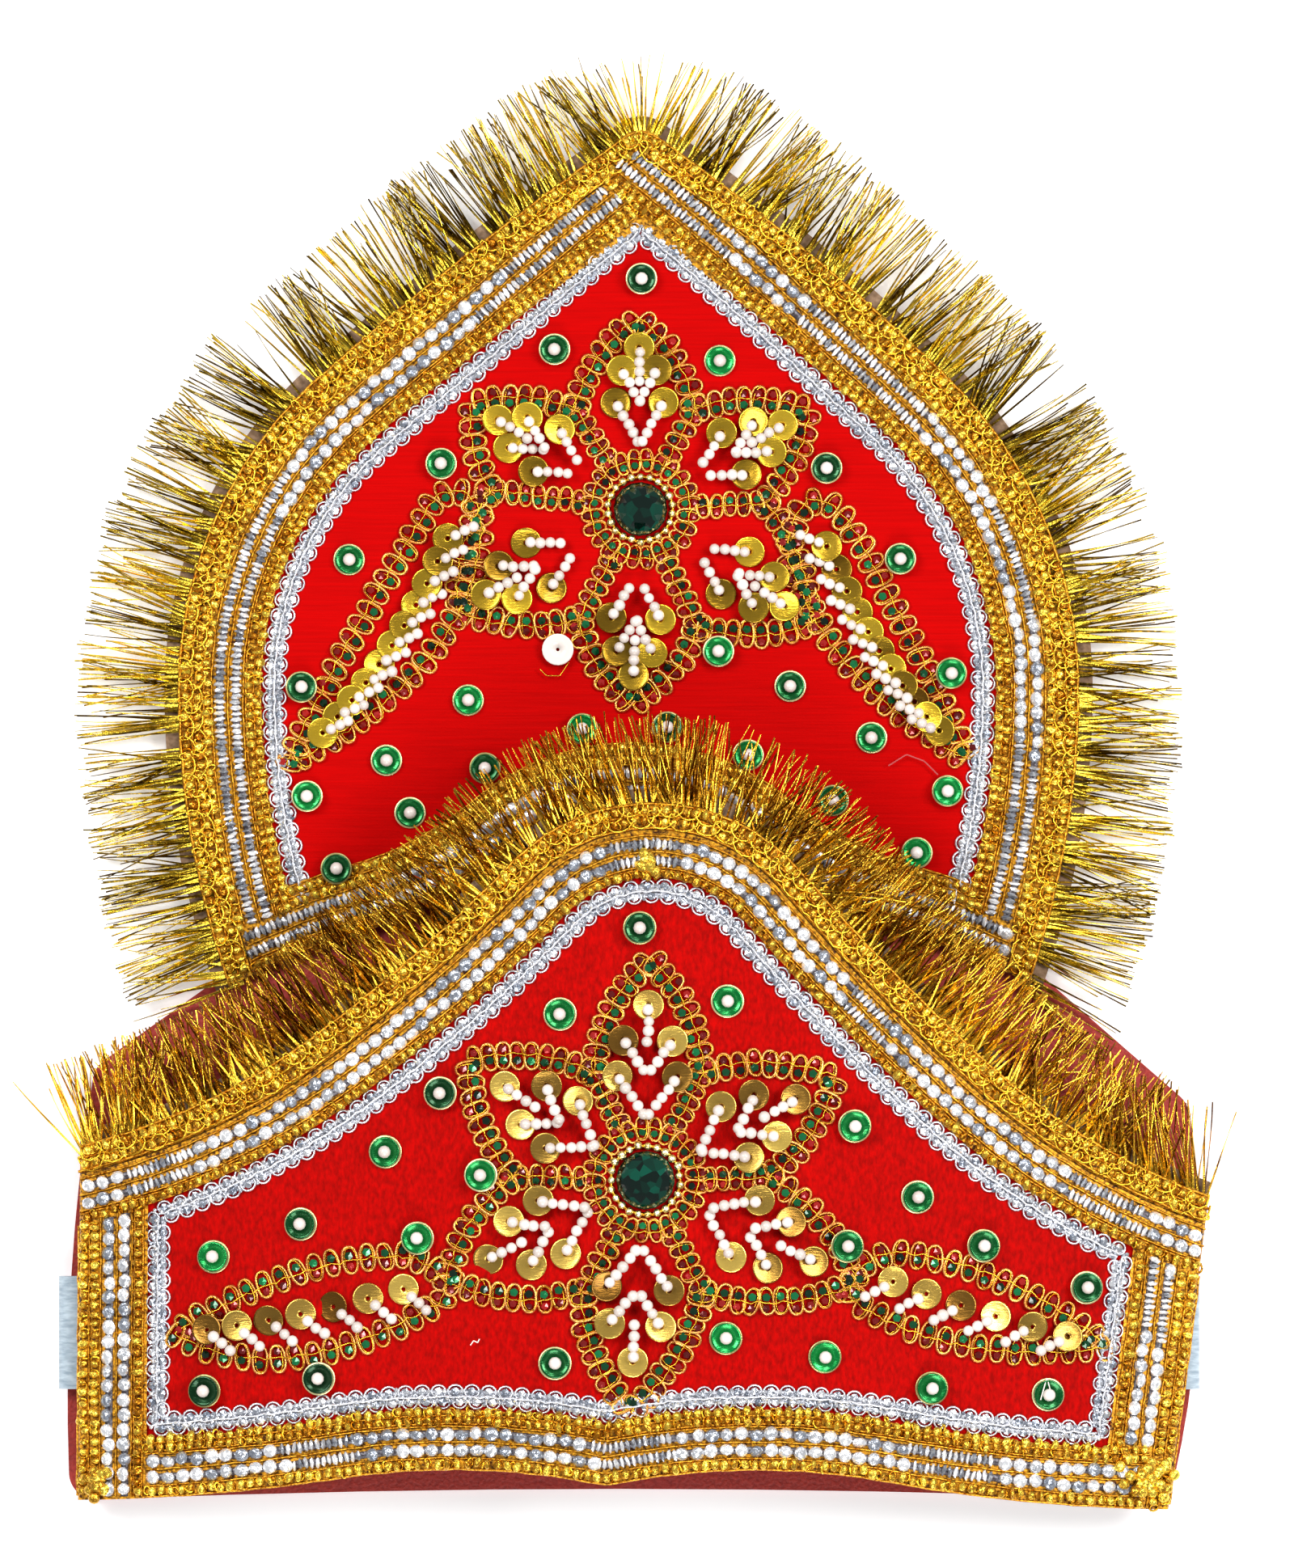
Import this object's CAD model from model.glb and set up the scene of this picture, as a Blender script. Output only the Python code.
# %% [markdown]
# # Dressing a mukut crown
#
# A mukut is a devotional crown: stiff card covered in red satin and trimmed by hand with metal
# lace, braid, tinsel fringe, sequins, seed beads and cut stones. The solid model already holds the
# boards, the bands and the places of the stones and sequins. Here every trim gets the wire, thread,
# foil and beads that it is really made of, laid along lines that are read from the solid model.

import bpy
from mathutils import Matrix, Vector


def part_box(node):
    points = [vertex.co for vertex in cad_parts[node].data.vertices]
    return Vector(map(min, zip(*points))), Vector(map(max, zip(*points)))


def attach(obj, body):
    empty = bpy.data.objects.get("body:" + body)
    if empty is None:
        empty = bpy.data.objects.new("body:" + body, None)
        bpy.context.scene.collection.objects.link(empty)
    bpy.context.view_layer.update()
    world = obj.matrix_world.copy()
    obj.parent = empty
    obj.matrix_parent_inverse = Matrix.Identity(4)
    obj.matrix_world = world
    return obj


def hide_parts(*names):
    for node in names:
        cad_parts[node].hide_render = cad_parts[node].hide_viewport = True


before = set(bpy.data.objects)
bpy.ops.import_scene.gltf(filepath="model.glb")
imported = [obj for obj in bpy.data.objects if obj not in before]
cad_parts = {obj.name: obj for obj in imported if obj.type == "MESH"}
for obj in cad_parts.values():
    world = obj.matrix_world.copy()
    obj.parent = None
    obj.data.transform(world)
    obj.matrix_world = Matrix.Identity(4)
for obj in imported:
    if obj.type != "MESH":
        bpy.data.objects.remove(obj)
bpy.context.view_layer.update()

# %% Modules, units and one seeded source of chance
import math

import bmesh
import bpy
import numpy as np
from mathutils import Matrix, Vector, noise

MM = 0.001
chance = np.random.default_rng(11)


def jitter(count, spread):
    """Small errors, as a hand makes them."""
    return chance.normal(0, spread, count)


# %% [markdown]
# ## Finishes
#
# Each finish starts from the real material. A colour is written as the sRGB hex value that a colour
# chart gives, and one function turns it to linear light, because the shader counts in light. Copies
# of a small shape carry a number called tone, from 0 to 1, and a finish mixes a dark and a light
# colour by it, so that a thousand strands or beads made from one shape don't all look the same.

# %% Colours and nodes
def hex_colour(code):
    """Linear RGBA of an sRGB hex colour."""
    parts = [int(code[i : i + 2], 16) / 255 for i in (1, 3, 5)]
    linear = [c / 12.92 if c <= 0.04045 else ((c + 0.055) / 1.055) ** 2.4 for c in parts]
    return (*linear, 1.0)


def add(tree, kind, inputs=None, **settings):
    """Adds a node, sets its own settings, and sets or links its inputs."""
    node = tree.nodes.new(kind)
    for name, value in settings.items():
        setattr(node, name, value)
    for socket, value in (inputs or {}).items():
        if isinstance(value, bpy.types.NodeSocket):
            tree.links.new(value, node.inputs[socket])
        else:
            node.inputs[socket].default_value = value
    return node


def new_finish(name, inputs):
    """A material with one principled shader, its tree and the shader."""
    material = bpy.data.materials.new(name)
    material.use_nodes = True
    tree = material.node_tree
    tree.nodes.clear()
    shader = add(tree, "ShaderNodeBsdfPrincipled", inputs)
    add(tree, "ShaderNodeOutputMaterial", {"Surface": shader.outputs[0]})
    return material, tree, shader


# %% Patterns that several finishes share
def clouds(tree, size_mm, detail):
    """A cloud pattern, with a size along each axis in millimetres, spread over 0 to 1."""
    place = add(tree, "ShaderNodeTexCoord")
    scale = [1 / (size * MM) for size in size_mm]
    stretched = add(tree, "ShaderNodeMapping", {"Vector": place.outputs["Object"], "Scale": scale})
    values = {"Vector": stretched.outputs[0], "Scale": 1.0, "Detail": detail}
    cloud = add(tree, "ShaderNodeTexNoise", values)
    spread = {"Value": cloud.outputs[0], "From Min": 0.3, "From Max": 0.7}
    return add(tree, "ShaderNodeMapRange", spread).outputs[0]


def tone_of(tree):
    """The tone that each copy of a shape carries."""
    return add(tree, "ShaderNodeAttribute", attribute_name="tone").outputs["Fac"]


def worked(tree, operation, first, second, **settings):
    """The result of a sum of two values."""
    inputs = {0: first, 1: second}
    return add(tree, "ShaderNodeMath", inputs, operation=operation, **settings).outputs[0]


def coloured(tree, shader, share, dark, light):
    """Colours a finish between two hex colours, by a share that another node gives."""
    inputs = {0: share, 6: hex_colour(dark), 7: hex_colour(light)}
    mixed = add(tree, "ShaderNodeMix", inputs, data_type="RGBA").outputs[2]
    tree.links.new(mixed, shader.inputs["Base Color"])


def roughened(tree, shader, height, depth_mm):
    """Raises and lowers a finish's surface by a pattern, to a depth in millimetres."""
    inputs = {"Height": height, "Distance": depth_mm * MM, "Strength": 1.0}
    bump = add(tree, "ShaderNodeBump", inputs)
    tree.links.new(bump.outputs[0], shader.inputs["Normal"])


def finish_of(name, dark, light, inputs, grain=None, detail=2.0, relief=0.0, by_tone=True):
    """A finish that goes from a dark to a light colour by each copy's tone, or by its own grain.

    grain is the size of its clouds along X, Y and Z, and relief is their depth, in millimetres.
    """
    material, tree, shader = new_finish(name, inputs)
    pattern = clouds(tree, grain, detail) if grain else None
    coloured(tree, shader, tone_of(tree) if by_tone else pattern, dark, light)
    if relief:
        roughened(tree, shader, pattern, relief)
    return material


# %% [markdown]
# Metal trims: the fringe, braids and lace are plastic film and thread with a vacuum-metallised
# skin. It mirrors like metal, so metallic is near 1, and it is crinkled at a fine scale, so
# roughness is 0.2 to 0.4. Gold film goes from bright yellow where it faces the light to brown in
# its folds.

# %% Toned metals
def toned_metal(name, dark, light, roughness, metallic=1.0, grain=0.9, speckle=0.35):
    """Metallised film or wire, toned and speckled.

    grain is the size of its speckle in millimetres, and speckle how far that shifts the tone.
    """
    material, tree, shader = new_finish(name, {"Metallic": metallic, "Roughness": roughness})
    shift = worked(tree, "MULTIPLY", clouds(tree, (grain, grain, grain), 2.0), speckle)
    tone = worked(tree, "ADD", tone_of(tree), shift)
    tone = worked(tree, "SUBTRACT", tone, speckle / 2, use_clamp=True)
    coloured(tree, shader, tone, dark, light)
    roughened(tree, shader, clouds(tree, (0.35, 0.35, 0.35), 1.0), 0.03)
    return material


gold_tinsel = toned_metal("metallised gold tinsel film", "#4E3606", "#FFDC48", 0.26)
front_gold_tinsel = toned_metal("yellow gold tinsel film", "#683A04", "#FFCE40", 0.26)
gold_wire = toned_metal("gold gimp wire", "#B8700A", "#FFD440", 0.27)
gold_ground = toned_metal("gold net ground", "#3C1A02", "#E8A420", 0.45, 0.7, 0.75, 1.3)
gold_knot = toned_metal("knotted gold film", "#A8680C", "#FFDC50", 0.24, 0.85)
orange_cord = toned_metal("orange gold cord", "#8A4404", "#FFC03C", 0.4, 1.0, 0.6, 1.1)
peach_wire = toned_metal("pale copper gold wire", "#C8701C", "#FFBC68", 0.27, 0.85)
silver_bead_foil = toned_metal("pressed silver foil beads", "#7E8694", "#FAFBFD", 0.16, 0.65)
silver_coil_foil = toned_metal("flat silver wire coil", "#6A707C", "#FFFFFF", 0.26, 0.6)
silver_wire = toned_metal("silver gimp wire", "#AEB4C0", "#F6F8FC", 0.3, 0.8)
silver_ground = toned_metal("silver net ground", "#4A4448", "#B0B2BA", 0.42)
pale_gold_bead = toned_metal("pale gold setting beads", "#E8B850", "#FFF6B8", 0.22)
print("toned metals made:", len(bpy.data.materials))

# %% [markdown]
# Sequins are punched from film that is metallised or dyed, and embossed with fine rings. The flat
# ones go from lemon to olive as they tilt. The cups are dyed film, glossy and dark green, with a
# clear top layer that a coat stands for.

# %% Sequin foils
def foil(name, dark, light, roughness, metallic, coat):
    inputs = {"Roughness": roughness, "Metallic": metallic, "Coat Weight": coat}
    inputs["Coat Roughness"] = 0.08
    return finish_of(name, dark, light, inputs, (1.6, 0.35, 1.0), relief=0.02)


gold_foil = foil("embossed gold sequin film", "#6E4A0A", "#FFD43A", 0.24, 0.9, 0.15)
pale_gold_foil = foil("worn pale gold sequin film", "#784C14", "#FFD868", 0.26, 0.9, 0.1)
rim_foil = foil("thin pale rim film", "#8E8442", "#F4ECAE", 0.35, 0.7, 0.1)
green_foil = foil("dyed green cup sequin film", "#00280E", "#008C3C", 0.2, 0.65, 0.2)

# %% [markdown]
# Beads: seed pearls are plastic with a pearl dip, so they are nearly white with a soft pink cast
# and a satin coat. The small red and green dots inside the braid are cut, glass-like beads. The
# stones are moulded, backed glass, so the light comes back from dark green facets rather than
# through them.

# %% Beads and stones
pearl_dip = {"Roughness": 0.28, "Coat Weight": 0.5, "Coat Roughness": 0.12, "Sheen Weight": 0.15}
pearl = finish_of(
    "pearl dipped seed beads", "#C0B2A8", "#ECE2DA", pearl_dip, (1.2, 1.2, 1.2), relief=0.02
)


def cut_glass(name, dark, light, metallic):
    inputs = {"Roughness": 0.1, "Metallic": metallic, "Coat Weight": 0.6, "Coat Roughness": 0.03}
    return finish_of(name, dark, light, inputs, (0.8, 0.8, 0.8), 1.0, 0.01)


red_glass = cut_glass("red cut glass beads", "#540806", "#B4201C", 0.3)
green_glass = cut_glass("green cut glass beads", "#001A0C", "#0E8048", 0.4)

# Light that has been inside the stone comes back in cells, one for each facet behind the table
cell = 2.3 * MM
polish = {"Roughness": 0.07, "Coat Weight": 0.15, "Coat Roughness": 0.02}
stone_glass, tree, shader = new_finish("backed emerald glass", polish)
place = add(tree, "ShaderNodeTexCoord").outputs["Object"]
cells = add(tree, "ShaderNodeTexVoronoi", {"Vector": place, "Scale": 1 / cell})
glint = {"Value": cells.outputs["Color"], "From Min": 0.35, "From Max": 1.0}
coloured(tree, shader, add(tree, "ShaderNodeMapRange", glint).outputs[0], "#00120C", "#004A38")

# %% [markdown]
# Satin is a weave of long floats, so it shines in streaks along its slubs. The threads, at about
# 0.1 mm, are too fine to show at this distance, and the slubs are drawn 0.5 mm wide instead. Card
# is dull and fibrous, the maroon paper on the back board is grained like leather, and elastic is
# knitted in ribs.

# %% Satins, boards, elastic and thread
def grained(name, dark, light, inputs, grain, detail, relief):
    return finish_of(name, dark, light, inputs, grain, detail, relief, by_tone=False)


sheen = {"Roughness": 0.5, "Specular IOR Level": 0.02}
level_slubs, brushed = (14.0, 0.5, 14.0), (0.8, 1.7, 0.8)
flat_satin = grained(
    "red satin with level slubs", "#A60202", "#B60202", sheen, level_slubs, 3.0, 0.03
)
bowed_satin = grained("red satin, brushed", "#880604", "#B60604", sheen, brushed, 3.0, 0.03)
card = grained(
    "bare grey card", "#644A32", "#90745A", {"Roughness": 0.85}, (1.1, 1.1, 1.1), 6.0, 0.08
)
waxed = {"Roughness": 0.6, "Coat Weight": 0.05}
maroon = grained(
    "maroon leatherette paper", "#921E16", "#B63226", waxed, (0.8, 0.8, 0.8), 4.0, 0.1
)
knitted, ribs = {"Roughness": 0.75, "Sheen Weight": 0.3}, (3.0, 0.7, 3.0)
elastic = grained("knitted white elastic", "#8C9EAC", "#BCCCD6", knitted, ribs, 2.0, 0.12)
spun = {"Roughness": 0.6, "Sheen Weight": 0.3}
thread = finish_of("loose sewing thread", "#B00010", "#FFF4E8", spun)
print("finishes made:", len(bpy.data.materials))

# %% [markdown]
# ## Panels
#
# The back panel lies flat and the front panel is bent to an arc about a line along Y. A place on a
# panel is given in plan, with a height off the board's top, and a frame there has X along a
# direction, Y to its left and Z off the panel. The flat panel is the same thing with a radius of a
# kilometre.

# %% Places and frames on a panel
def merged_copy(node):
    """A bmesh of a solid's surface, with the doubled corners of its triangles merged."""
    bm = bmesh.new()
    bm.from_mesh(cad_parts[node].data)
    bmesh.ops.remove_doubles(bm, verts=bm.verts, dist=0.002 * MM)
    bm.normal_update()
    return bm


class Panel:
    def __init__(self, board, middle, radius):
        self.middle = middle
        self.radius = radius
        self.axis_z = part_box(board)[1].z - radius

    def points(self, places, heights):
        """Points over places in plan, at heights off the board's top."""
        places = np.asarray(places, float)
        tilt = np.arcsin((places[:, 0] - self.middle) / self.radius)
        reach = self.radius + np.broadcast_to(heights, len(places))
        across = places[:, 0] + (reach - self.radius) * np.sin(tilt)
        return np.column_stack([across, places[:, 1], self.axis_z + reach * np.cos(tilt)])

    def heights(self, points):
        """Heights of points off the board's top."""
        across = points[:, 0] - self.middle
        return np.hypot(across, points[:, 2] - self.axis_z) - self.radius

    def frames(self, places, directions, heights, sizes=1.0):
        """A frame per place, with X along its direction; sizes scale it, or its X, Y and Z."""
        places, directions = np.asarray(places, float), np.asarray(directions, float)
        tilt = np.arcsin((places[:, 0] - self.middle) / self.radius)
        normals = np.column_stack([np.sin(tilt), 0 * tilt, np.cos(tilt)])
        along = np.column_stack(
            [directions[:, 0] * np.cos(tilt), directions[:, 1], -directions[:, 0] * np.sin(tilt)]
        )
        axes = np.stack([along, np.cross(normals, along), normals], axis=2)
        sizes = np.asarray(sizes, float)
        sizes = sizes[:, None] if sizes.ndim == 2 else sizes.reshape(-1, 1, 1)
        made = np.tile(np.eye(4), (len(places), 1, 1))
        made[:, :3, :3] = axes * sizes
        made[:, :3, 3] = self.points(places, heights)
        return made


def bow_radius(board, middle):
    """Radius of a bowed board's top, from its highest point and its far edge."""
    bm = merged_copy(board)
    top = np.array([v.co[:] for f in bm.faces if f.normal.z > 0.5 for v in f.verts])
    bm.free()
    far = top[np.argmax(abs(top[:, 0] - middle))]
    drop = top[:, 2].max() - far[2]
    return ((far[0] - middle) ** 2 + drop**2) / (2 * drop)


bow_middle = 2.0 * MM
halo = Panel("halo_board", 0.0, 1000.0)
front = Panel("front_board", bow_middle, bow_radius("front_board", bow_middle))
print("front panel's radius", round(front.radius / MM, 1), "mm")

satin_level = 1.1 * MM      # top of the satin, off the board
trim_level = 1.2 * MM       # underside of what is sewn on the satin

# %% [markdown]
# ## Lines to sew along
#
# A sewn row follows the card's edge at an even distance. The edge is read from the solid: it is the
# rim between the board's upper face and its sides. The rim is split where it turns a sharp corner,
# and each part is evened out, so that a row can be set in from it, carried on past its ends, and
# cut where it meets another part's rows.

# %% Rims and their parts
def top_rims(node):
    """Closed lines round a solid's upper faces, in plan, with the face on their left."""
    bm = merged_copy(node)
    following = {}
    for face in bm.faces:
        if face.normal.z < 0.5:
            continue
        for loop in face.loops:
            if loop.link_loop_radial_next.face.normal.z < 0.5:
                following[loop.vert.index] = loop.link_loop_next.vert.index
    places = np.array([v.co.xy[:] for v in bm.verts])
    bm.free()
    rims = []
    while following:
        start, at = following.popitem()
        rim = [start]
        while at != start and at in following:
            rim.append(at)
            at = following.pop(at)
        rims.append(places[rim])
    return sorted(rims, key=len, reverse=True)


def lengths_along(line):
    steps = np.linalg.norm(np.diff(line, axis=0), axis=1)
    return np.concatenate([[0], np.cumsum(steps)])


def read_off(values, lengths, at):
    """Values of a line's points, read off between them at given lengths along it."""
    return np.column_stack([np.interp(at, lengths, column) for column in values.T])


def evenly(line, step):
    """Points along a line at an even step."""
    lengths = lengths_along(line)
    count = max(2, round(lengths[-1] / step) + 1)
    return read_off(line, lengths, np.linspace(0, lengths[-1], count))


def headings(line, span=3):
    """Unit directions along a line, each taken over a few points on both sides."""
    count = len(line)
    index = np.arange(count)
    ahead = line[np.minimum(index + span, count - 1)]
    behind = line[np.maximum(index - span, 0)]
    return (ahead - behind) / np.linalg.norm(ahead - behind, axis=1)[:, None]


def left_of(directions):
    return np.column_stack([-directions[:, 1], directions[:, 0]])


def parts_between_corners(rim, sharpest=60):
    """The rim's parts between its corners that turn by more than some degrees."""
    ahead = np.roll(rim, -1, axis=0) - rim
    turns = np.arctan2(ahead[:, 1], ahead[:, 0])
    change = (turns - np.roll(turns, 1) + math.pi) % (2 * math.pi) - math.pi
    corners = np.flatnonzero(abs(change) > math.radians(sharpest))
    closed = np.concatenate([rim, rim])
    ends = [*corners, corners[0] + len(rim)]
    return [evenly(closed[a : b + 1], 1.0 * MM) for a, b in zip(ends, ends[1:])]


def carried_on(line, before=16.0 * MM, after=16.0 * MM):
    """A line carried straight on past both ends."""
    first, last = headings(line)[0], headings(line)[-1]
    start = line[0] - first * np.arange(before, 0, -1.0 * MM)[:, None]
    end = line[-1] + last * np.arange(1.0 * MM, after, 1.0 * MM)[:, None]
    return np.concatenate([start, line, end])


def mean_x(line):
    return line[:, 0].mean()


def mean_y(line):
    return line[:, 1].mean()


halo_parts = parts_between_corners(top_rims("halo_board")[0])
arch, dome = sorted(halo_parts, key=mean_y)
front_parts = parts_between_corners(top_rims("front_board")[0])
long_hem = carried_on(min(front_parts, key=mean_y))
crest = max(front_parts, key=mean_y)
long_left = carried_on(min(front_parts, key=mean_x))
long_right = carried_on(max(front_parts, key=mean_x))
long_arch, long_crest = carried_on(arch), carried_on(crest)
print("parts of the rims:", len(halo_parts), "and", len(front_parts))

# The dome's two flanks meet at the apex, where the card is rounded off over some of its points
apex = int(np.argmax(dome[:, 1]))
halo_tip = dome[apex]
round_off = 8
past_tip, past_foot = 44.0 * MM, 16.0 * MM
right_flank = carried_on(dome[: apex - round_off], past_foot, past_tip)
left_flank = carried_on(dome[apex + round_off :], past_tip, past_foot)


# %% Rows set in from a line
def depth_from(line, places):
    """How far places lie to the left of a line."""
    gaps = np.linalg.norm(places[:, None] - line[None], axis=2)
    nearest = gaps.argmin(axis=1)
    return np.einsum("ij,ij->i", places - line[nearest], left_of(headings(line))[nearest])


def set_in(line, distance, limits=()):
    """A row at a distance to the left of a line, where it lies deep enough inside other lines.

    limits are pairs of a line and the depth that the row needs inside it.
    """
    row = line + left_of(headings(line)) * distance
    gaps = np.linalg.norm(row[:, None] - line[None], axis=2).min(axis=1)
    row = evenly(row[gaps > 0.95 * abs(distance) - 0.1 * MM], 1.0 * MM)
    kept = np.ones(len(row), bool)
    for other, depth in limits:
        kept &= depth_from(other, row) > depth
    breaks = np.flatnonzero(np.diff(kept)) + 1
    runs = zip(np.split(row, breaks), np.split(kept, breaks))
    row = max((run for run, inside in runs if inside[0]), key=len)
    row[1:-1] = (row[:-2] + row[1:-1] + row[2:]) / 3
    return row


def drawn_out(line, tip, most, reach):
    """A line moved outwards near a tip, where the trims were pulled close together."""
    closeness = np.clip(1 - np.linalg.norm(line - tip, axis=1) / reach, 0, 1)
    return line - left_of(headings(line)) * (most * closeness**1.5)[:, None]


def spaced(line, pitch, begin=0.5):
    """Places along a line at an even pitch that fits it, and their headings."""
    fine = evenly(line, 0.5 * MM)
    lengths = lengths_along(fine)
    count = max(1, round(lengths[-1] / pitch))
    at = (np.arange(count) + begin) * lengths[-1] / count
    ways = read_off(headings(fine, 2), lengths, at)
    return read_off(fine, lengths, at), ways / np.linalg.norm(ways, axis=1)[:, None]


def turned(ways, angles):
    """Directions turned to the left by angles in radians."""
    cos, sin = np.cos(angles), np.sin(angles)
    return np.column_stack(
        [ways[:, 0] * cos - ways[:, 1] * sin, ways[:, 0] * sin + ways[:, 1] * cos]
    )


# %% [markdown]
# ## Many copies of a small shape
#
# A trim is one small shape, such as a bead or a wire loop, repeated hundreds of times. Each shape
# is made once with bmesh operators. A tray then gathers its copies, places each by a frame, and
# joins them into one mesh with a finish and a tone for each.

# %% Shapes
def as_arrays(bm, smooth=False):
    """A finished bmesh as points, face corners in one row, and corners per face."""
    bmesh.ops.recalc_face_normals(bm, faces=bm.faces)
    bm.verts.index_update()
    points = np.array([v.co[:] for v in bm.verts])
    corners = np.array([v.index for f in bm.faces for v in f.verts])
    sizes = np.array([len(f.verts) for f in bm.faces])
    bm.free()
    return points, corners, sizes, smooth


def wire(path, radius, rounder=0):
    """Round wire along a path of points, as a shape for the tray, from a bevelled curve."""
    curve = bpy.data.curves.new("wire", "CURVE")
    curve.dimensions = "3D"
    curve.bevel_depth = radius
    curve.bevel_resolution = rounder
    curve.use_fill_caps = True
    spline = curve.splines.new("POLY")
    spline.points.add(len(path) - 1)
    spline.points.foreach_set("co", np.column_stack([path, np.ones(len(path))]).ravel())
    holder = bpy.data.objects.new("wire", curve)
    mesh = bpy.data.meshes.new_from_object(holder)
    bm = bmesh.new()
    bm.from_mesh(mesh)
    bpy.data.objects.remove(holder)
    bpy.data.curves.remove(curve)
    bpy.data.meshes.remove(mesh)
    return as_arrays(bm, True)


# %% Pieces and the tray
as_it_is = np.eye(4)[None]


def finished(name, mesh, slot, *replaced):
    """Adds a piece that rides on the crown and stands for some of its solids."""
    piece = bpy.data.objects.new(name, mesh)
    bpy.context.scene.collection.objects.link(piece)
    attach(piece, "root")
    if replaced:
        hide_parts(*replaced)
    mesh.calc_loop_triangles()
    print(name, "has", len(mesh.loop_triangles), "triangles")
    return piece


class Tray:
    def __init__(self):
        self.rows = []
        self.finishes = []

    def lay(self, shape, frames, finish, tones=0.5):
        """Lays one copy of a shape at each frame."""
        points, corners, sizes, smooth = shape
        if finish not in self.finishes:
            self.finishes.append(finish)
        count = len(frames)
        placed = np.einsum("kij,nj->kni", frames[:, :3, :3], points) + frames[:, None, :3, 3]
        shift = len(points) * np.arange(count)[:, None]
        faces = len(sizes) * count
        self.rows.append(
            (
                placed.reshape(-1, 3),
                (corners + shift).ravel(),
                np.tile(sizes, count),
                np.repeat(np.broadcast_to(tones, count), len(points)),
                np.full(faces, self.finishes.index(finish)),
                np.full(faces, smooth),
            )
        )

    def run(self, path, radius, finish, tone, rounder=0):
        """Lays one wire along a path."""
        self.lay(wire(path, radius, rounder), as_it_is, finish, tone)

    def join(self, name, slot, *replaced):
        """Joins everything on the tray into one piece."""
        base, corners = 0, []
        for row in self.rows:
            corners.append(row[1] + base)
            base += len(row[0])
        corners = np.concatenate(corners)
        points, sizes, tones, finishes, smooth = (
            np.concatenate([row[i] for row in self.rows]) for i in (0, 2, 3, 4, 5)
        )
        mesh = bpy.data.meshes.new(name)
        mesh.vertices.add(len(points))
        mesh.vertices.foreach_set("co", points.ravel())
        mesh.loops.add(len(corners))
        mesh.loops.foreach_set("vertex_index", corners.astype(np.int32))
        mesh.polygons.add(len(sizes))
        starts = np.concatenate([[0], np.cumsum(sizes)[:-1]])
        mesh.polygons.foreach_set("loop_start", starts.astype(np.int32))
        mesh.polygons.foreach_set("material_index", finishes.astype(np.int32))
        mesh.polygons.foreach_set("use_smooth", smooth)
        tone = mesh.attributes.new("tone", "FLOAT", "POINT")
        tone.data.foreach_set("value", tones.astype(np.float32))
        for finish in self.finishes:
            mesh.materials.append(finish)
        mesh.update(calc_edges=True)
        finished(name, mesh, slot, *replaced)


# %% [markdown]
# ## Boards
#
# The card boards have the right shape already, so they stay, and only get their material: bare grey
# card with its fibres for the two panels, and maroon leatherette paper for the back.

# %% Board materials
for node, finish in (("back_board", maroon), ("halo_board", card), ("front_board", card)):
    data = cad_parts[node].data
    data.materials.clear()
    data.materials.append(finish)

# %% [markdown]
# ## Satin
#
# The satin is a sheet pulled over the board and held by the lace at its edge. It starts from one
# face in the outline of the solid, is cut into a net with bisect_plane, is raised by small puckers,
# and gets its thickness from a Solidify modifier. Its rim drops to the board under the lace.

# %% The two satins
rim_level = 0.55 * MM
wide_pucker, fine_pucker = 9 * MM, 3 * MM


def satin_cloth(name, node, panel, finish, net=2.5 * MM):
    rim = top_rims(node)[0]
    bm = bmesh.new()
    bm.faces.new([bm.verts.new((x, y, 0)) for x, y in rim])
    flat_area = sum(f.calc_area() for f in bm.faces)
    low, high = rim.min(axis=0), rim.max(axis=0)
    for axis, direction in enumerate((Vector((1, 0, 0)), Vector((0, 1, 0)))):
        for at in np.arange(low[axis] + net, high[axis], net):
            everything = bm.verts[:] + bm.edges[:] + bm.faces[:]
            bmesh.ops.bisect_plane(
                bm, geom=everything, plane_co=direction * at, plane_no=direction
            )
    on_rim = np.array([v.is_boundary for v in bm.verts])
    places = np.array([v.co.xy[:] for v in bm.verts])
    pucker = np.array([noise.noise(Vector((x, y, 0)) / wide_pucker) for x, y in places])
    fine = np.array([noise.noise(Vector((x, 2.5 * y, 0)) / fine_pucker) for x, y in places])
    heights = satin_level + (0.1 * pucker + 0.05 * fine - 0.1) * MM
    heights[on_rim] = rim_level
    for vert, point in zip(bm.verts, panel.points(places, heights)):
        vert.co = point
    for face in bm.faces:
        face.smooth = True
    mesh = bpy.data.meshes.new(name)
    bm.to_mesh(mesh)
    bm.free()
    mesh.materials.append(finish)
    piece = finished(name, mesh, "red_satin", node)
    thickness = piece.modifiers.new("cloth thickness", "SOLIDIFY")
    thickness.thickness = 0.35 * MM
    thickness.offset = -1.0


satin_cloth("halo_satin_cloth", "halo_satin", halo, flat_satin)
satin_cloth("front_satin_cloth", "front_satin", front, bowed_satin)


# %% [markdown]
# ## Tinsel fringe
#
# Fringe is hundreds of narrow film strands sewn into a tape. A strand is a thin bar cut into
# lengths and twisted, in a few versions with different bends. Strands lean together in locks, lie
# over each other, and thin out where the tape turns at the tip.

# %% Strands
film_width, film_thickness, film_taper = 0.52 * MM, 0.16 * MM, 0.35


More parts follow.
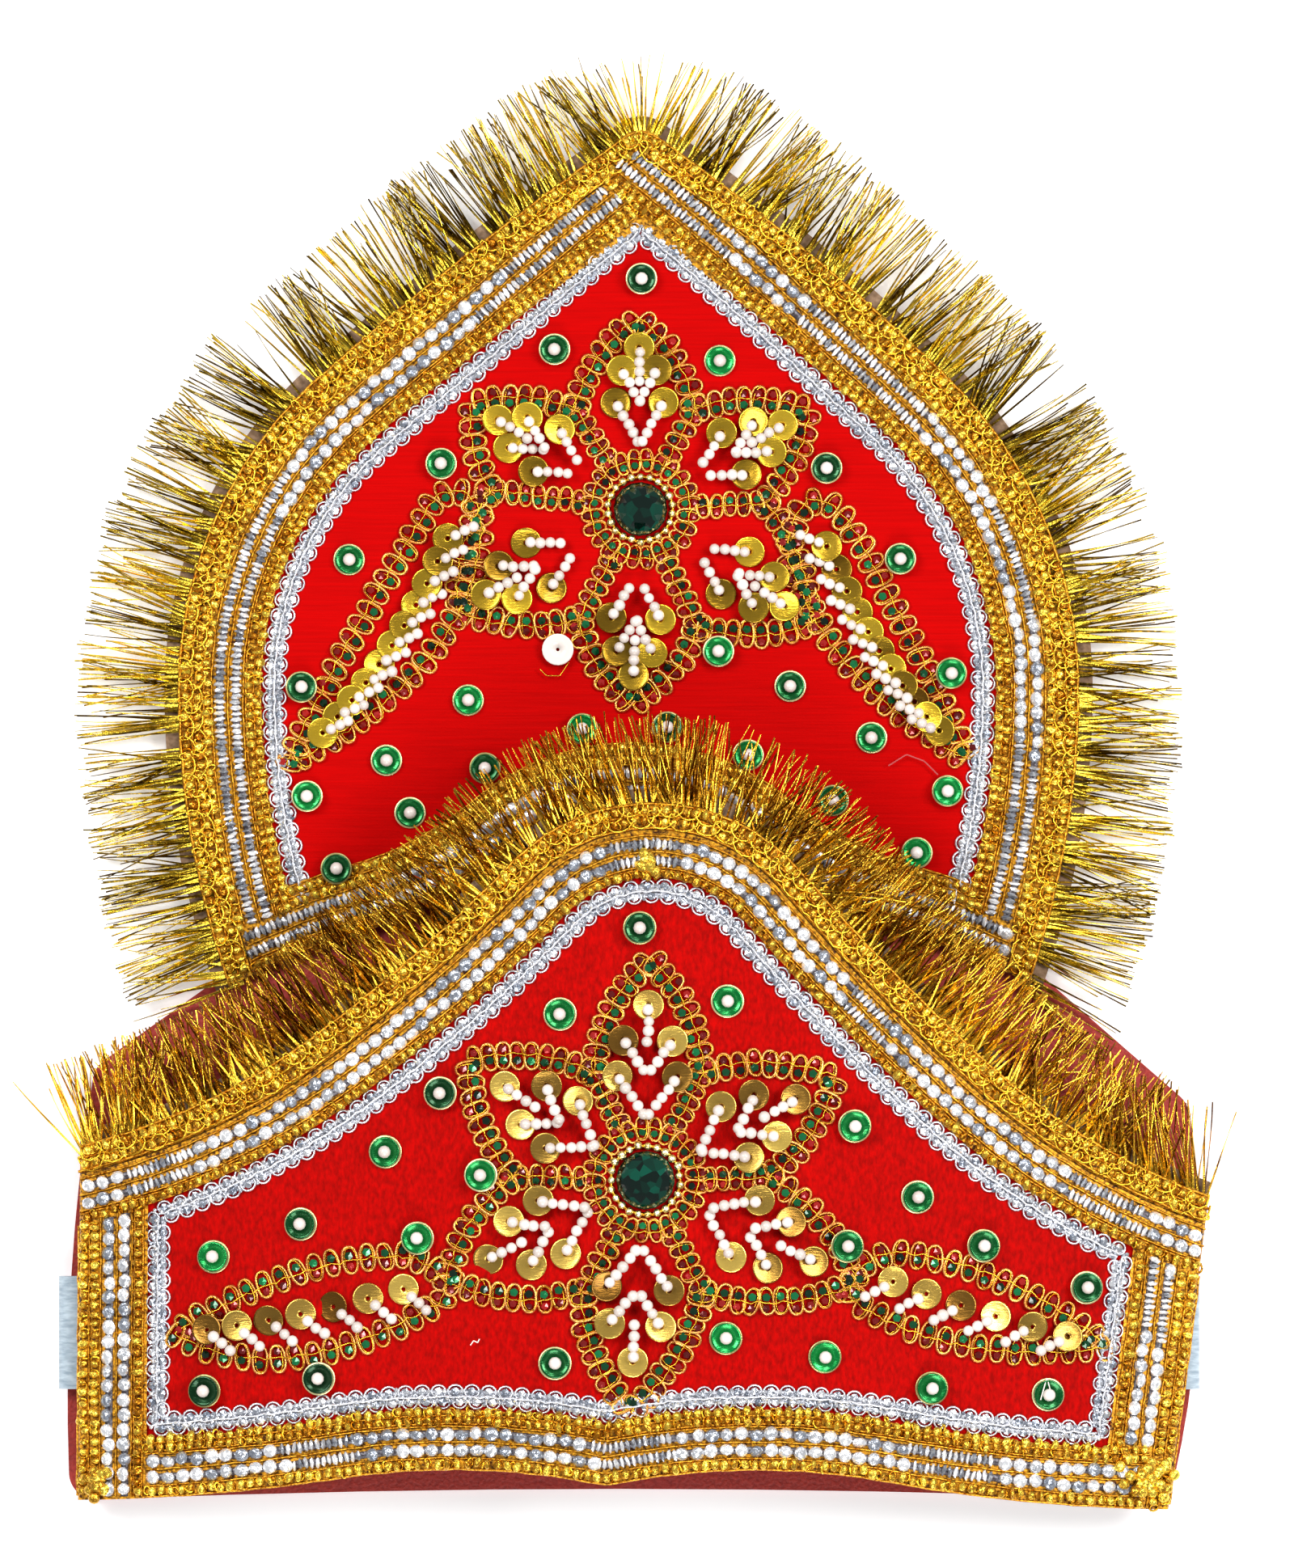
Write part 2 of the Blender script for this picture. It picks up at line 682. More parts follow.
def strand(bend, twist, droop, cuts=5):
    """A film strand of unit length along X, twisted and bent to one side."""
    bm = bmesh.new()
    bmesh.ops.create_cube(bm, size=1.0)
    bmesh.ops.translate(bm, verts=bm.verts, vec=(0.5, 0, 0))
    lengthwise = [e for e in bm.edges if abs(e.verts[0].co.x - e.verts[1].co.x) > 0.5]
    bmesh.ops.subdivide_edges(bm, edges=lengthwise, cuts=cuts, use_grid_fill=True)
    for vert in bm.verts:
        along = vert.co.x
        taper = 1.0 - film_taper * along
        across, up = vert.co.y * film_width * taper, vert.co.z * film_thickness
        angle = twist * along
        side = bend * math.sin(2.6 * along) * along
        vert.co.y = across * math.cos(angle) - up * math.sin(angle) + side
        vert.co.z = across * math.sin(angle) + up * math.cos(angle) - droop * along**2
    return as_arrays(bm)


# Bend in millimetres, twist in radians and droop in millimetres of each version
strands = [
    strand(bend * MM, twist, droop * MM)
    for bend, twist, droop in (
        (0.4, 1.6, 0.8), (-0.6, 2.2, 1.4), (1.0, -1.8, 1.0),
        (-1.2, 2.6, 2.0), (0.2, -2.5, 0.4), (-0.3, 1.3, 1.7),
    )
]


def slow_wave(at, length, weights=(1.0, 0.6, 0.4)):
    """A smooth uneven wave along a line, about as long as given, from -1 to 1."""
    wave = 0
    for index, weight in enumerate(weights):
        phase = chance.uniform(0, 2 * math.pi)
        wave = wave + weight * np.sin(2 * math.pi * at * (1.0 + 0.73 * index) / length + phase)
    return wave / sum(weights)


lock_pitch = 5.2 * MM        # from one lock of strands to the next
root_inset = 6.5 * MM        # from the card's edge to where the strands are sewn in
crown_span = 16 * MM         # from the tip to where the fringe is full
upright_span = 30 * MM       # from the right end, where strands can be pressed back


def fringe_strands(
    name, node, panel, edge, film, beyond, per_mm, crown, gather, stray, pressed_back=0
):
    """Strands rooted in the tape under the edge braid, reaching beyond the card's edge.

    per_mm counts the strands, crown is the share of their length at the tip, gather is how far they
    spread from their lock's root, and stray how many degrees one leans away from its neighbours.
    pressed_back turns those at the right end upright.
    """
    lengths = lengths_along(edge)
    total = lengths[-1]
    count, lock_count = int(total / MM * per_mm), int(total / lock_pitch)
    lock_places = np.arange(lock_count) + chance.uniform(0.2, 0.8, lock_count)
    lock_places = lock_places * total / lock_count
    lock_leans = np.radians(jitter(lock_count, 8.0))
    lock = chance.integers(0, lock_count, count)
    aside = jitter(count, gather)
    at = np.clip(lock_places[lock] + aside, 0, total)
    ways = headings(edge, 4)
    places = read_off(edge + left_of(ways) * root_inset, lengths, at)
    out = -left_of(read_off(ways, lengths, at))
    lean = lock_leans[lock] + np.radians(3.6 * aside / MM + jitter(count, stray))
    lean += np.radians(pressed_back) * np.clip(1 - at / upright_span, 0, 1)
    from_crown = np.abs(at - lengths[np.argmax(edge[:, 1])]) / crown_span
    fullness = crown + (1 - crown) * np.minimum(1, from_crown)
    uneven = 1 - 0.13 * (0.5 + 0.5 * slow_wave(at, 13 * MM)) - np.abs(jitter(count, 0.06))
    reach = (root_inset + beyond * uneven * fullness) * chance.choice([1, 1, 1, 0.8], count)
    heights = (0.35 + chance.uniform(0, 1.7, count)) * MM
    kinds = chance.integers(0, len(strands), count)
    lock_tones = 0.45 + jitter(lock_count, 0.18)
    tones = np.clip(lock_tones[lock] + chance.uniform(-0.6, 0.6, count), 0, 1)
    tray = Tray()
    sizes = np.column_stack([reach, np.ones(count), np.ones(count)])
    frames = panel.frames(places, turned(out, lean), heights, sizes)
    for kind, shape in enumerate(strands):
        tray.lay(shape, frames[kinds == kind], film, tones[kinds == kind])
    tray.join(name, "gold_tinsel", node)


fringe_strands(
    "halo_tinsel", "halo_fringe", halo, dome, gold_tinsel, 21 * MM, 3.2, 0.66, 1.2 * MM, 5
)
fringe_strands(
    "front_tinsel", "front_fringe", front, crest, front_gold_tinsel, 19 * MM, 4.6, 0.95,
    2.0 * MM, 10, pressed_back=32,
)

# %% [markdown]
# ## Trim grounds
#
# Lace and braid are worked on a thin dark net. The solid of each trim is as thick as the finished
# trim, so the ground is a copy of it pressed down to part of its thickness, and the wires and beads
# stand on that.

# %% Pressed grounds
lace_pressed, braid_pressed = 0.35, 0.3      # shares of a trim's thickness left


def ground(tray, node, panel, keep):
    """Lays a thinned copy of a trim's solid on the tray, and returns the height of its top."""
    bm = merged_copy(node)
    points = np.array([v.co[:] for v in bm.verts])
    heights = panel.heights(points)
    low = heights.min()
    drop = (heights - low) * (1 - keep)
    centre = np.array([panel.middle, 0, panel.axis_z])
    out = (points - centre) * np.array([1, 0, 1])
    out /= np.linalg.norm(out, axis=1)[:, None]
    for vert, point in zip(bm.verts, points - out * drop[:, None]):
        vert.co = point
    tray.lay(as_arrays(bm), as_it_is, gold_ground)
    return low + (heights.max() - low) * keep


# %% [markdown]
# ## Small shapes
#
# A foil bead is a faceted dome with flat facets, because pressed foil flashes facet by facet. A
# wire loop is a ring of wire, made by spinning a small circle round an axis, with its ends merged.

# %% Beads and loops
def cut_bead(radius, squash, finer=2):
    """A faceted round bead standing on the ground."""
    bm = bmesh.new()
    bmesh.ops.create_icosphere(bm, subdivisions=finer, radius=radius)
    bmesh.ops.scale(bm, verts=bm.verts, vec=(1, 1, squash))
    bmesh.ops.translate(bm, verts=bm.verts, vec=(0, 0, radius * squash * 0.7))
    return as_arrays(bm)


def wire_loop(along, across, thickness, steps, sides, fullness=2.0):
    """A ring of wire lying flat, by its two outer half sizes: an oval, or squarer above 2."""
    bm = bmesh.new()
    radius = thickness / 2
    turned_up = Matrix.Rotation(math.radians(90), 4, "X")
    made = bmesh.ops.create_circle(bm, segments=sides, radius=radius, matrix=turned_up)
    bmesh.ops.translate(bm, verts=made["verts"], vec=(along - radius, 0, radius))
    bmesh.ops.spin(
        bm, geom=bm.verts[:] + bm.edges[:], cent=(0, 0, 0), axis=(0, 0, 1),
        angle=math.tau, steps=steps, use_merge=True,
    )
    bmesh.ops.remove_doubles(bm, verts=bm.verts, dist=radius * 0.1)
    for vert in bm.verts:
        way = Vector((vert.co.x, vert.co.y, 0)).normalized()
        swell = (abs(way.x) ** fullness + abs(way.y) ** fullness) ** (-1 / fullness)
        stretched = Vector((way.x * (along - radius), way.y * (across - radius), 0)) * swell
        vert.co += stretched - way * (along - radius)
    return as_arrays(bm, True)


silver_bead = cut_bead(1.52 * MM, 0.62)
silver_coil = cut_bead(1.45 * MM, 0.66, 1)
gold_lump = cut_bead(1.18 * MM, 0.8)
purl_loop = wire_loop(1.0 * MM, 1.25 * MM, 0.55 * MM, 9, 4)


# %% Frames as a hand lays them
def tilted(frames, tips, rolls):
    """Frames tipped about their own Y and rolled about their own X, by angles in radians."""
    made = frames.copy()
    for index, (tip, roll) in enumerate(zip(tips, rolls)):
        spin = Matrix.Rotation(tip, 3, "Y") @ Matrix.Rotation(roll, 3, "X")
        made[index, :3, :3] = frames[index, :3, :3] @ np.array(spin)
    return made


def any_way(ways, most=6):
    """Directions turned by any angle up to some radians."""
    return turned(ways, chance.uniform(0, most, len(ways)))


def moved_aside(places, ways, spread_mm):
    return places + left_of(ways) * jitter(len(places), spread_mm * MM)[:, None]


def laid_by_hand(
    panel, places, ways, level, tip, roll, lean=0, aside=0, swing=0, size=1, spread=()
):
    """Frames whose place, size and direction are each a little off.

    tip, roll, lean and swing are in radians and aside in millimetres, and spread is how uneven the
    size is, or each of its parts along X, Y and Z.
    """
    count = len(places)
    if aside:
        places = moved_aside(places, ways, aside)
    if spread:
        size = np.column_stack([mean + jitter(count, by) for mean, by in zip(size, spread)])
    if swing:
        ways = turned(ways, jitter(count, swing))
    frames = panel.frames(places, ways, level, size)
    return tilted(frames, lean + jitter(count, tip), jitter(count, roll))


# %% [markdown]
# ## Lace
#
# The lace is a band of rows on a dark net: curled gold wire between orange gold cords on the
# outside, two rows of silver with a cord between, and curled gold wire again on the inside. The
# silver rows change between faceted foil beads and tight coils of flat silver wire, seen as bars
# across the row. One lace goes round both panels, and its edges are tucked under the edge braid and
# the scallops.

# %% Rows of the lace
def silver_row(tray, panel, row, level, coiled):
    """Silver beads and stretches of coil, on a dark strip of net; coiled is the coil's share."""
    tray.run(panel.points(row, level - 0.9 * MM), 1.35 * MM, silver_ground, 0.1, rounder=1)
    for shape, finish, pitch, stretch, roll, sign in (
        (silver_bead, silver_bead_foil, 3.25, 1.06, 0.3, 1),
        (silver_coil, silver_coil_foil, 1.3, 0.4, 0.1, -1),
    ):
        places, ways = spaced(row, pitch * MM)
        wave = np.sin(places[:, 0] / (11 * MM) + 1.7 * np.sin(places[:, 1] / (23 * MM)))
        here = sign * (wave + 1 - 2 * coiled) > 0
        frames = laid_by_hand(
            panel, places[here], ways[here], level, tip=0.15, roll=roll, aside=0.1, swing=0.12,
            size=(stretch, 1, 1), spread=(0.05, 0.05, 0.1),
        )
        tray.lay(shape, frames, finish, chance.choice([0.2, 0.6, 1, 1], len(frames)))


def purl_row(tray, panel, row, level, low_tone, high_tone):
    """Knots of curled gold film in a row, with loops of wire standing across them."""
    knots = laid_by_hand(
        panel, *spaced(row, 2.2 * MM), level, tip=0.3, roll=0.3, aside=0.12, swing=0.3,
        size=(0.78, 1, 1), spread=(0.08, 0.12, 0.12),
    )
    tray.lay(gold_lump, knots, gold_knot, chance.uniform(low_tone, high_tone, len(knots)))
    loops = laid_by_hand(
        panel, *spaced(row, 3.1 * MM, 0.0), level + 0.3 * MM, tip=0.35, roll=0.3, lean=0.7,
        aside=0.25, swing=0.4,
    )
    tray.lay(purl_loop, loops, gold_wire, chance.uniform(low_tone, high_tone, len(loops)))


def wandering(fine, most, length):
    """Steps aside along a line, as a thread wanders."""
    wave = slow_wave(lengths_along(fine), length)
    return left_of(headings(fine, 2)) * (most * wave)[:, None]


def cord_row(tray, panel, row, level, finish, radius=0.25 * MM, tone=0.5):
    """A cord sewn down along a row, wandering by a fraction of its width."""
    fine = evenly(row, 1.3 * MM)
    heights = level + radius * 0.7 + 0.08 * MM * slow_wave(lengths_along(fine), 4 * MM)
    path = panel.points(fine + wandering(fine, 0.12 * MM, 11 * MM), heights)
    tray.run(path, radius, finish, tone)


# Each row's distance from the lace's outer edge, in millimetres
lace_rows = (
    ("cord", 0.4), ("curl", 1.6), ("cord", 2.8), ("curl", 4.1), ("cord", 5.3), ("silver", 7.1),
    ("cord", 8.9), ("silver", 10.7), ("cord", 12.3), ("cord", 12.9), ("dark curl", 13.7),
    ("cord", 14.7), ("curl", 15.5), ("cord", 16.1),
)


def sew_rows(tray, panel, level, line, edge_at, shown, limits, coiled, flip=False):
    """The rows of the lace whose distance from a line is within what is shown.

    edge_at is where the lace's outer edge lies, coiled is the share of coil in its silver rows, and
    flip turns the lace's outside inwards.
    """
    for kind, place in lace_rows:
        inset = (edge_at - place if flip else edge_at + place) * MM
        if not shown[0] < inset < shown[1]:
            continue
        row = set_in(line, inset, limits)
        if kind == "silver":
            silver_row(tray, panel, row, level, coiled)
        elif kind == "curl":
            purl_row(tray, panel, row, level, 0.2, 1.0)
        elif kind == "dark curl":
            purl_row(tray, panel, row, level, 0.0, 0.6)
        else:
            cord_row(tray, panel, row, level + 0.2 * MM, orange_cord)


def lace_knot(tray, panel, level, spot, reach, count):
    """A tangle of gold film where the lace's end is turned under; reach is how far it spreads."""
    places = np.array([spot]) * MM + jitter(2 * count, reach * MM).reshape(-1, 2)
    ways = any_way(np.tile([1.0, 0.0], (count, 1)))
    heights = level + chance.uniform(0.2, 1.2, count) * MM
    frames = laid_by_hand(panel, places, ways, heights, tip=0.4, roll=0.4, size=1.15)
    tray.lay(gold_lump, frames, gold_knot, chance.uniform(0.2, 1, count))
    tray.lay(purl_loop, frames[::2], gold_wire, 0.8)


def sew_lace(node, panel, parts, knots=()):
    """A lace in place of its solid; parts and knots hold what sew_rows and lace_knot take."""
    tray = Tray()
    level = ground(tray, node, panel, lace_pressed)
    for part in parts:
        sew_rows(tray, panel, level, *part)
    for knot in knots:
        lace_knot(tray, panel, level, *knot)
    tray.join(f"{node}_work", "lace", node)


# %% The halo's laces
lace_in = 9.2 * MM                      # from the card's edge, past the edge braid
halo_lace_end = lace_in + 12.2 * MM     # the scallops cover the rest
lace_width = 15.0 * MM                  # where no edge braid covers it
arch_lace_top = 9.6 * MM                # how far the flanks' rows stay inside the arch
rows_moved_at_tip, rows_moved_over = 3.2 * MM, 70 * MM

# Where the lace's outer edge lies from each line, in millimetres
flank_edge_at, arch_edge_at, crest_edge_at, side_edge_at, hem_edge_at = 5.2, 15.2, 5.1, 0.1, -2.6

right_rows = drawn_out(right_flank, halo_tip, rows_moved_at_tip, rows_moved_over)
left_rows = drawn_out(left_flank, halo_tip, rows_moved_at_tip, rows_moved_over)
over_arch = (long_arch, arch_lace_top)
shown = (lace_in, halo_lace_end)
over, under = [over_arch, (left_rows, lace_in)], [over_arch, (right_rows, halo_lace_end)]
right_part = (right_rows, flank_edge_at, shown, over, 0.75)
left_part = (left_rows, flank_edge_at, shown, under, 0.85)
sew_lace("halo_lace", halo, [right_part, left_part])

# The flanks' lace runs down over the upper rows of the arch's lace
lower, upper = (0, 9 * MM), (9 * MM, lace_width)
whole = [(right_flank, lace_in), (left_flank, lace_in)]
between_flanks = [(right_flank, halo_lace_end), (left_flank, halo_lace_end)]
sew_lace(
    "halo_arch_lace", halo,
    [
        (long_arch, arch_edge_at, lower, whole, 0.5, True),
        (long_arch, arch_edge_at, upper, between_flanks, 0.5, True),
    ],
)

# %% The front's lace
front_lace_end = lace_in + 10.4 * MM
hem_lace_width = 13.2 * MM
right_band = 6.0 * MM                   # the gold rows that run down past the hem on the right
rim_gap = 0.3 * MM                      # nearest that a row comes to the card's edge
sides = [(long_left, rim_gap), (long_right, rim_gap)]
below_crest, to_foot = (long_crest, front_lace_end), (long_hem, rim_gap)
above_hem = (long_hem, hem_lace_width)
beside_sides = [(long_left, lace_width), (long_right, right_band)]
sew_lace(
    "front_lace", front,
    [
        (long_crest, crest_edge_at, (lace_in, front_lace_end), sides, 0.12),
        (long_left, side_edge_at, (0, lace_width), [below_crest, to_foot], 0.1),
        (long_right, side_edge_at, (0, right_band), [below_crest, to_foot], 0.1),
        (long_right, side_edge_at, (right_band, lace_width), [below_crest, above_hem], 0.1),
        (long_hem, hem_edge_at, (0, hem_lace_width), beside_sides, 0.15),
    ],
    knots=[((112.5, -32.5), 2.2, 36), ((-118.5, -33.0), 1.6, 18), ((2.5, 105.0), 1.2, 10)],
)

# %% [markdown]
# ## Edge braid
#
# The rough braid that hides the fringe's tape is knots of gold film between three cords, with gold
# wire looped to and fro over them. A point that runs round a small circle while the circle moves on
# draws such loops.

# %% Loops along a line
def looping(panel, line, pitch, ahead, aside, level, lift, phase, per_turn=9):
    """A wire path of loops along a line: pitch between loops, and half sizes ahead and aside."""
    fine = evenly(line, 0.5 * MM)
    lengths = lengths_along(fine)
    turns = max(1, round(lengths[-1] / pitch))
    angle = np.linspace(0, turns * math.tau, turns * per_turn) + phase
    at = np.linspace(0, lengths[-1], len(angle))
    uneven = 1 + 0.35 * slow_wave(at, 7 * MM)
    along = np.clip(at + ahead * uneven * np.sin(angle), 0, lengths[-1])
    sideways = left_of(read_off(headings(fine, 2), lengths, along))
    places = read_off(fine, lengths, along) + sideways * (aside * uneven * np.cos(angle))[:, None]
    return panel.points(places, level + lift * (1 + np.sin(angle * 1.5)) / 2)


braid_in, braid_width = 3.0 * MM, 6.0 * MM


def edge_braid(name, node, panel, line, limits):
    """The edge braid, with each of its rows at a share of its width."""
    def row_at(share):
        return set_in(line, braid_in + share * braid_width, limits)

    tray = Tray()
    level = ground(tray, node, panel, braid_pressed)
    for share in (0.26, 0.72):
        purl_row(tray, panel, row_at(share), level, 0.0, 1.0)
    for share, *sizes, lift in ((0.3, 4.2, 1.5, 1.7, 0.9), (0.66, 4.8, 1.7, 1.9, 1.2)):
        pitch, ahead, aside = (size * MM for size in sizes)
        phase = chance.uniform(0, 6)
        row = row_at(share)
        path = looping(panel, row, pitch, ahead, aside, level + 0.9 * MM, lift * MM, phase)
        tray.run(path, 0.24 * MM, gold_wire, 0.8)
    for share, tone in ((0.06, 0.5), (0.49, 0.3), (0.95, 0.6)):
        cord_row(tray, panel, row_at(share), level + 0.4 * MM, orange_cord, 0.34 * MM, tone)
    tray.join(name, "gold_braid", node)


edge_braid("halo_edge_braid_work", "halo_edge_braid", halo, dome, [(long_arch, rim_gap)])
edge_braid("front_edge_braid_work", "front_edge_braid", front, long_crest, sides)

# %% [markdown]
# ## Scalloped silver braid
#
# Silver gimp wire is worked into two columns of round loops on either side of a bright double cord,
# so that both edges are scalloped. A crystal-like foil bead lies in each loop, and the satin shows
# round it.

# %% Silver scallops
scallop_loop = wire_loop(1.85 * MM, 1.65 * MM, 0.5 * MM, 13, 4)
scallop_filling = cut_bead(1.05 * MM, 0.5, 1)
knot = cut_bead(0.5 * MM, 0.9, 1)


def scallops(tray, panel, line, middle, mitred, limits):
    """Silver braid set in from a line; mitred lines have the braid's other legs on them."""
    def row_at(aside):
        mitres = [(other, at + aside) for other, at in mitred]
        return set_in(line, middle + aside, [*limits, *mitres])

    level = trim_level
    for side in (-1, 1):
        row = row_at(side * 0.85 * MM)
        tray.run(panel.points(row, level - 0.6 * MM), 1.05 * MM, silver_ground, 0.9, rounder=1)
        places, ways = spaced(row_at(side * 1.2 * MM), 3.7 * MM, 0.5 + 0.12 * side)
        count = len(places)
        frames = laid_by_hand(panel, places, ways, level, 0.08, 0.08, size=(1,), spread=(0.04,))
        tray.lay(scallop_loop, frames, silver_wire, chance.uniform(0.5, 1, count))
        tray.lay(scallop_filling, frames, silver_bead_foil, chance.uniform(0, 0.7, count))
        places = places + ways * 1.87 * MM + jitter(2 * count, 0.3 * MM).reshape(-1, 2)
        frames = panel.frames(places, any_way(ways), level + 0.3 * MM)
        tray.lay(knot, frames, silver_bead_foil, chance.uniform(0, 1, count))
    row = row_at(0)
    places, ways = spaced(row, 1.25 * MM)
    count = len(places)
    places = places + left_of(ways) * chance.choice([-0.35, 0.35], count)[:, None] * MM
    frames = panel.frames(places, any_way(ways), level + 0.5 * MM)
    tray.lay(knot, frames, silver_wire, chance.uniform(0, 0.8, count))
    fine = evenly(row, 1.3 * MM)
    path = panel.points(fine + wandering(fine, 0.3 * MM, 5 * MM), level + 1.0 * MM)
    tray.run(path, 0.26 * MM, silver_wire, 0.7)


def sew_scallops(name, node, panel, parts, limits=()):
    """A scalloped braid in place of its solid, from each part's line, inset and mitred lines."""
    tray = Tray()
    for line, middle, mitred in parts:
        scallops(tray, panel, line, middle, mitred, limits)
    tray.join(name, "silver_braid", node)


half_scallop = 0.2 * MM + 5.7 * MM / 2  # from the lace, over a small gap, to the braid's middle
middle = halo_lace_end + half_scallop
halo_legs = [
    (right_rows, middle, [(left_rows, middle)]), (left_rows, middle, [(right_rows, middle)])
]
sew_scallops("halo_scallops", "halo_scallop_braid", halo, halo_legs, [over_arch])

crest_leg = (long_crest, front_lace_end + half_scallop)
hem_leg = (long_hem, hem_lace_width + half_scallop)
left_leg, right_leg = ((line, lace_width + half_scallop) for line in (long_left, long_right))
across, upright = [crest_leg, hem_leg], [left_leg, right_leg]
front_legs = [
    (*crest_leg, upright), (*left_leg, across), (*hem_leg, upright), (*right_leg, across)
]
sew_scallops("front_scallops", "front_scallop_braid", front, front_legs)

# %% [markdown]
# ## The embroidered flower and leaves
#
# The design is drawn with one narrow gimp braid: a ring, six spokes, six pointed petals and two
# long leaves. The tables repeat the solid model's: a petal starts at a joint and ends in a tip,
# each by its angle round the flower and its share of the reach. The braid's lines are arcs through
# three points.

# %% Lines of the design
setting_width = (0.15 + 1.0 + 0.8 + 0.2) * MM    # clearance, wall, bead and gap, past the stone
spoke_start = 4.2 * MM                           # from the setting's outside
petal_bulge = 0.09                               # of the length of a petal's side


def unit(degrees):
    return np.array([math.cos(math.radians(degrees)), math.sin(math.radians(degrees))])


def circle_round(centre, radius, step):
    return np.array([centre + radius * unit(turn) for turn in range(0, 361, step)])


def arc_through(start, middle, end, steps=24):
    """Points on a smooth curve through three points."""
    share = np.linspace(0, 1, steps)[:, None]
    control = 2 * middle - (start + end) / 2
    return start * (1 - share) ** 2 + control * 2 * share * (1 - share) + end * share**2


class Design:
    """One panel's flower and leaves, placed in shares of the panel's half width and height."""

    def __init__(self, panel, origin, half_width, height, centre, reach, petals, leaves, stone):
        self.panel = panel
        self.origin = np.array(origin) * MM
        self.scale = np.array([half_width, height]) * MM
        self.centre = self.place(centre)
        self.reach = reach * MM
        self.petals = petals
        self.leaves = leaves
        self.stone = stone * MM
        self.ring = self.stone + setting_width

    def place(self, shares):
        return self.origin + np.array(shares) * self.scale

    def petal_sides(self):
        """Two lines per petal, both from their joint to the tip, and which side is outside."""
        for index, (joint, share, tip, tip_share) in enumerate(self.petals):
            after, after_share = self.petals[(index + 1) % len(self.petals)][:2]
            point = self.centre + tip_share * self.reach * unit(tip)
            for turn, out, side in ((joint, share, -1), (after, after_share, 1)):
                start = self.centre + out * self.reach * unit(turn)
                chord = point - start
                bulge = np.array([-chord[1], chord[0]]) * petal_bulge * side
                yield arc_through(start, (start + point) / 2 + bulge, point), side

    def spokes(self):
        for joint, share, _, _ in self.petals:
            reaches = (self.ring + spoke_start, share * self.reach)
            ends = [self.centre + far * unit(joint) for far in reaches]
            yield evenly(np.array(ends), 0.5 * MM)

    def leaf_loops(self):
        """Each leaf's closed line, and which side of it is inside: 1 for the left."""
        for leaf in self.leaves:
            tip, outer_middle, outer_start, blunt, inner_start, inner_middle = map(self.place, leaf)
            line = np.concatenate(
                [
                    arc_through(outer_start, outer_middle, tip),
                    arc_through(tip, inner_middle, inner_start),
                    arc_through(inner_start, blunt, outer_start),
                ]
            )
            area = np.sum(line[:-1, 0] * line[1:, 1] - line[1:, 0] * line[:-1, 1])
            yield line, (1 if area > 0 else -1)


halo_design = Design(
    halo, (-1.0, 76.0), 105.0, 194.0, (0.018, 0.552), 44.0,
    [(3, 0.625, 30.6, 0.98), (61.6, 0.57, 90.5, 0.96), (123.6, 0.60, 148, 1.00),
     (173, 0.757, 209, 1.05), (241, 0.63, 267.6, 0.99), (296, 0.66, 326, 1.03)],
    [((-0.730, 0.258), (-0.603, 0.394), (-0.414, 0.565),
      (-0.354, 0.569), (-0.321, 0.538), (-0.424, 0.388)),
     ((0.712, 0.266), (0.594, 0.399), (0.460, 0.534),
      (0.375, 0.560), (0.331, 0.501), (0.464, 0.371))],
    6.0,
)
front_design = Design(
    front, (3.5, -38.0), 125.5, 159.0, (-0.012, 0.455), 49.0,
    [(1.5, 0.55, 28.5, 0.97), (62, 0.55, 89, 1.00), (116, 0.54, 146, 0.96),
     (178.5, 0.59, 206.8, 1.00), (240.7, 0.58, 266, 1.04), (297, 0.565, 334, 1.06)],
    [((-0.845, 0.240), (-0.616, 0.327), (-0.422, 0.349),
      (-0.365, 0.319), (-0.372, 0.283), (-0.635, 0.206)),
     ((0.798, 0.222), (0.610, 0.316), (0.420, 0.353),
      (0.366, 0.330), (0.350, 0.290), (0.549, 0.225))],
    6.5,
)

# %% [markdown]
# The gimp braid is a chain of oval loops of copper gold wire that stand across its line, each with
# a thinner gold loop over it, a green bead in one half and a red bead in the other. One thin wire
# ties them together along the middle, and the satin shows through.

# %% Gimp braid
gimp_loop = wire_loop(2.0 * MM, 3.35 * MM, 0.72 * MM, 16, 4, 2.6)
thin_loop = wire_loop(1.5 * MM, 3.0 * MM, 0.36 * MM, 12, 3, 2.6)
green_dot = cut_bead(1.08 * MM, 0.75, 1)
red_dot = cut_bead(0.95 * MM, 0.7, 1)


def gimp(tray, panel, line, inside, pitch=3.3 * MM, size=1.0):
    """Gimp braid along a line; inside is 1 where the green beads lie on its left, and -1 if not."""
    places, ways = spaced(line, pitch * size)
    count = len(places)
    places = moved_aside(places, ways, 0.15)
    frames = laid_by_hand(panel, places, ways, trim_level, 0.12, 0.06, swing=0.12, size=size)
    tray.lay(gimp_loop, frames, peach_wire, chance.uniform(0.3, 1, count))
    over = tilted(frames, jitter(count, 0.1), jitter(count, 0.08))
    over[:, :3, 3] += over[:, :3, 2] * 0.4 * MM + over[:, :3, 0] * jitter(count, 0.3 * MM)[:, None]
    tray.lay(thin_loop, over, gold_wire, chance.uniform(0, 1, count))
    for dot, finish, aside in ((green_dot, green_glass, 1.0), (red_dot, red_glass, -1.5)):
        step = (inside * aside + jitter(count, 0.1))[:, None] * MM * size
        beads = places + left_of(ways) * step
        frames = panel.frames(beads, any_way(ways), trim_level + 0.1 * MM, size)
        tray.lay(dot, frames, finish, chance.uniform(0, 1, count) ** 1.5)
    fine = evenly(line, 1.0 * MM)
    wander = slow_wave(lengths_along(fine), 5 * MM)
    side = left_of(headings(fine, 2)) * (0.5 * wander - 0.3 * inside)[:, None] * MM * size
    path = panel.points(fine + side, trim_level + (0.8 + 0.2 * wander) * MM)
    tray.run(path, 0.18 * MM, gold_wire, 0.6)


